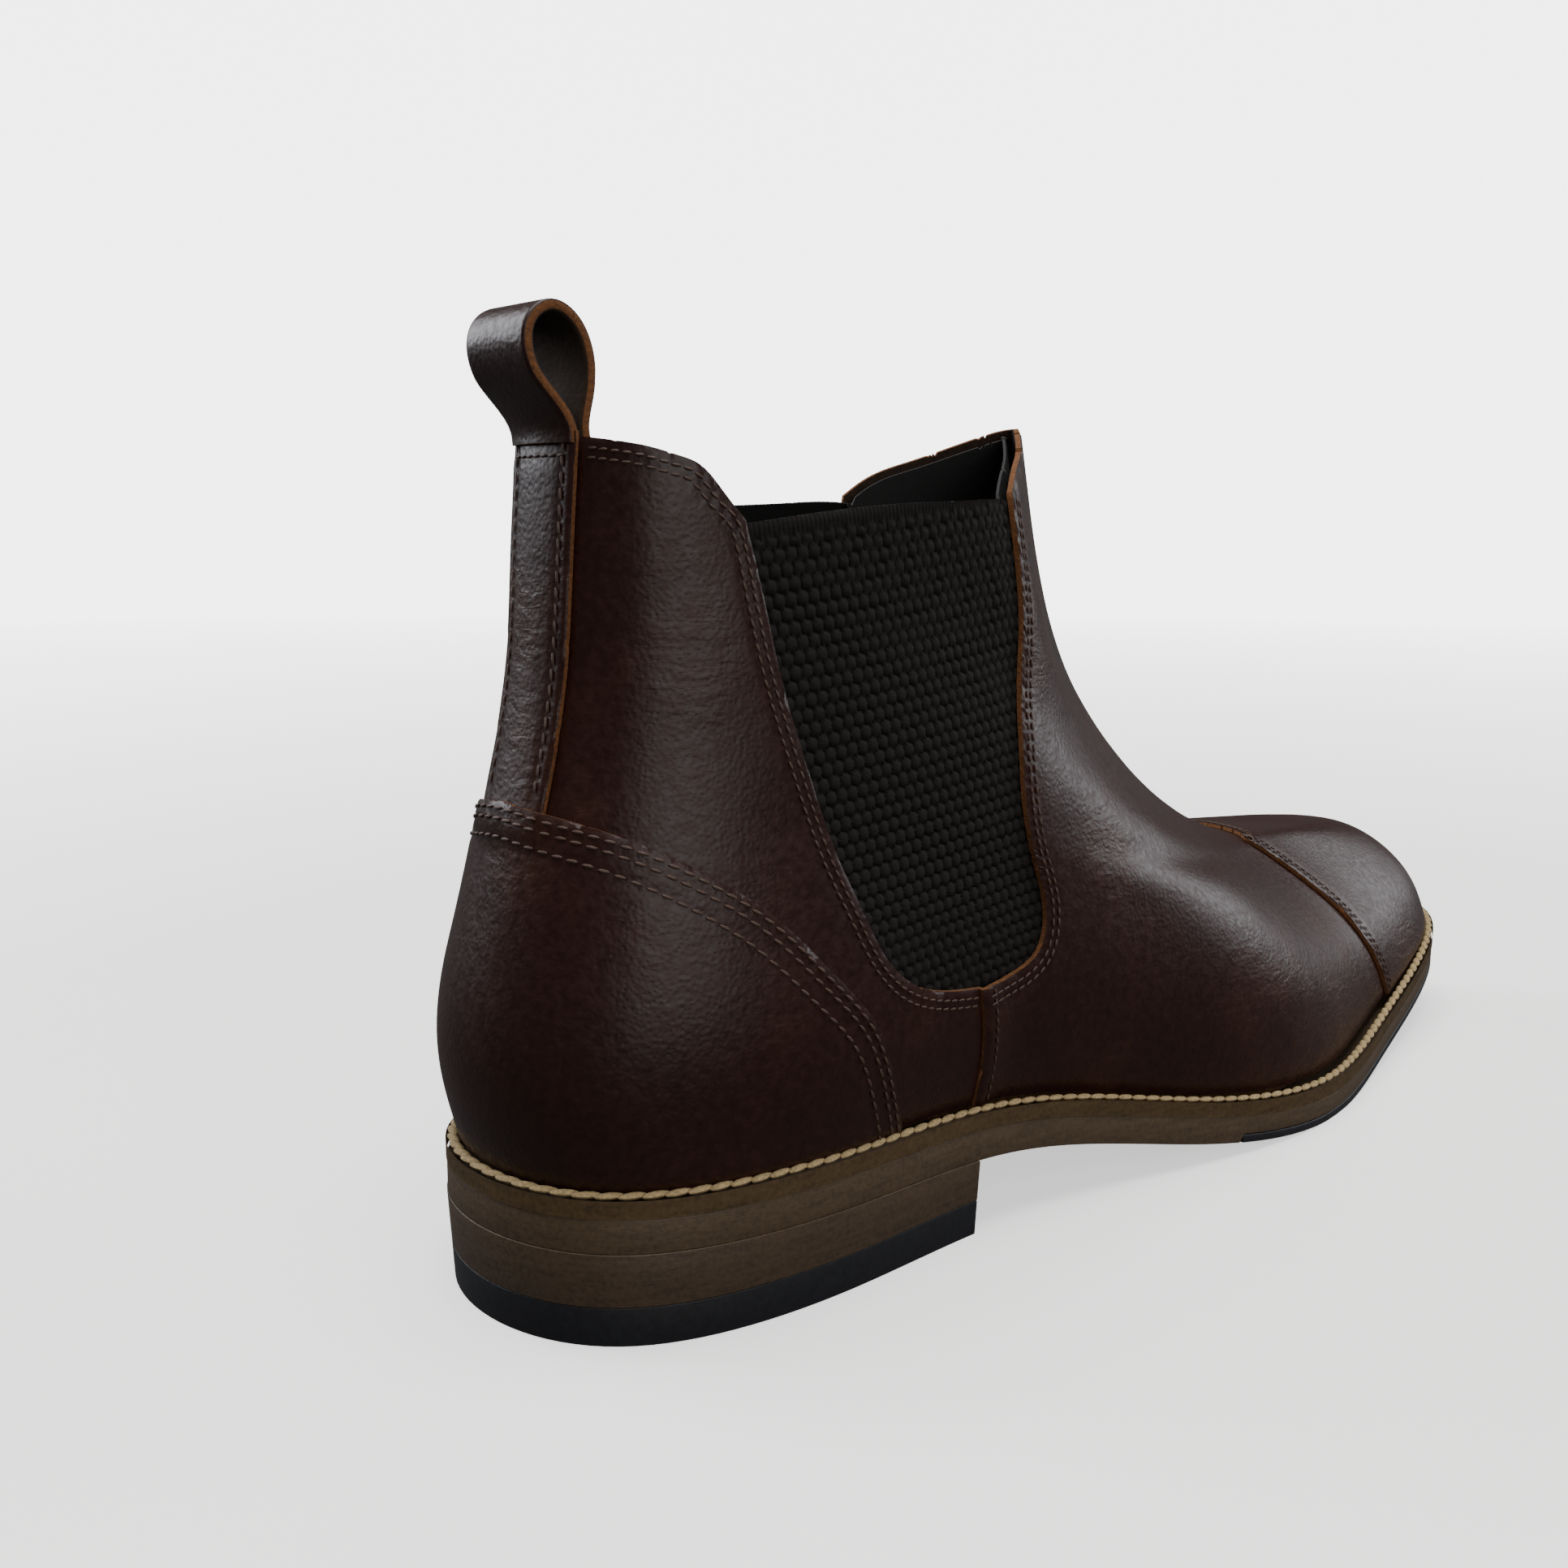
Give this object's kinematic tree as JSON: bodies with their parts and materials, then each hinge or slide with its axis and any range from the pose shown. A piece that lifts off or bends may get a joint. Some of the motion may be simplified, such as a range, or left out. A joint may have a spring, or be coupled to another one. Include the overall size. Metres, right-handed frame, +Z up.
{
  "type": "chelsea boot",
  "caption": "Right ankle boot in dark brown leather with black elastic side gores, a plain toe cap, a heel pull loop, a stitched welt, a stacked heel and a rubber half sole",
  "frame": {"origin": "On the floor, under the middle of the boot's bounding box.", "axes": "+X points from the heel to the toe, +Y points to the wearer's left, which is the medial side of this right boot, and +Z points up from the floor."},
  "size_m": [0.3093, 0.0913, 0.1646],
  "materials": {
    "upper_leather": "dark brown smooth grain leather, hand-waxed to a soft shine, with raw tan cut edges",
    "strap_leather": "woven tan and brown strap edge with a dark brown face, matt",
    "elastic": "black elastic webbing with a knobbly weave and a ribbed top edge",
    "lining": "black lining leather, matt",
    "fibre_board": "pressed fibre board, unseen inside the boot",
    "welt_leather": "tan-brown welt leather with a waxed edge",
    "waxed_thread": "thick waxed linen thread, pale tan",
    "cork": "cork filler, unseen inside the sole",
    "steel": "plain steel nails and shank",
    "sole_leather": "brown sole leather with a burnished edge",
    "sole_rubber": "black rubber, matt"
  },
  "bodies": {
    "root": {"vamp": "upper_leather", "quarter_lateral": "upper_leather", "quarter_medial": "upper_leather", "gore_lateral": "elastic", "gore_medial": "elastic", "counter_cover": "upper_leather", "vamp_lining": "lining", "quarter_lining": "lining", "heel_stiffener": "fibre_board", "welt": "welt_leather", "welt_thread": "waxed_thread", "cork_filler": "cork", "steel_shank": "steel", "insole_board": "fibre_board", "sock_liner": "lining", "outsole": "sole_leather", "tread": "sole_rubber", "heel_block": "sole_leather", "top_lift": "sole_rubber", "heel_nail_1": "steel", "heel_nail_2": "steel", "heel_nail_3": "steel", "heel_nail_4": "steel"},
    "forepart": {"toe_cap": "upper_leather", "toe_puff": "fibre_board"},
    "shaft_back": {"back_strip": "upper_leather"},
    "pull_loop": {"pull_loop": "strap_leather"}
  },
  "joints": [
    {"name": "toe_flex", "type": "hinge", "parent": "root", "child": "forepart", "pos_m": [0.0516, -0.0012, 0.0095], "axis": [0, -1, 0], "range_deg": [0, 30], "stiffness_Nm_per_rad": 8, "deforming": ["vamp", "vamp_lining", "insole_board", "sock_liner", "cork_filler", "welt", "outsole", "tread", "welt_thread"]},
    {"name": "collar_open", "type": "hinge", "parent": "root", "child": "shaft_back", "pos_m": [-0.1422, -0.0012, 0.0875], "axis": [0, -1, 0], "range_deg": [0, 10], "stiffness_Nm_per_rad": 2, "deforming": ["quarter_lateral", "quarter_medial", "gore_lateral", "gore_medial", "quarter_lining"]},
    {"name": "loop_tilt", "type": "hinge", "parent": "shaft_back", "child": "pull_loop", "pos_m": [-0.1372, -0.0012, 0.1466], "axis": [0, -1, 0], "range_deg": [-30, 45], "stiffness_Nm_per_rad": 0.02}
  ]
}
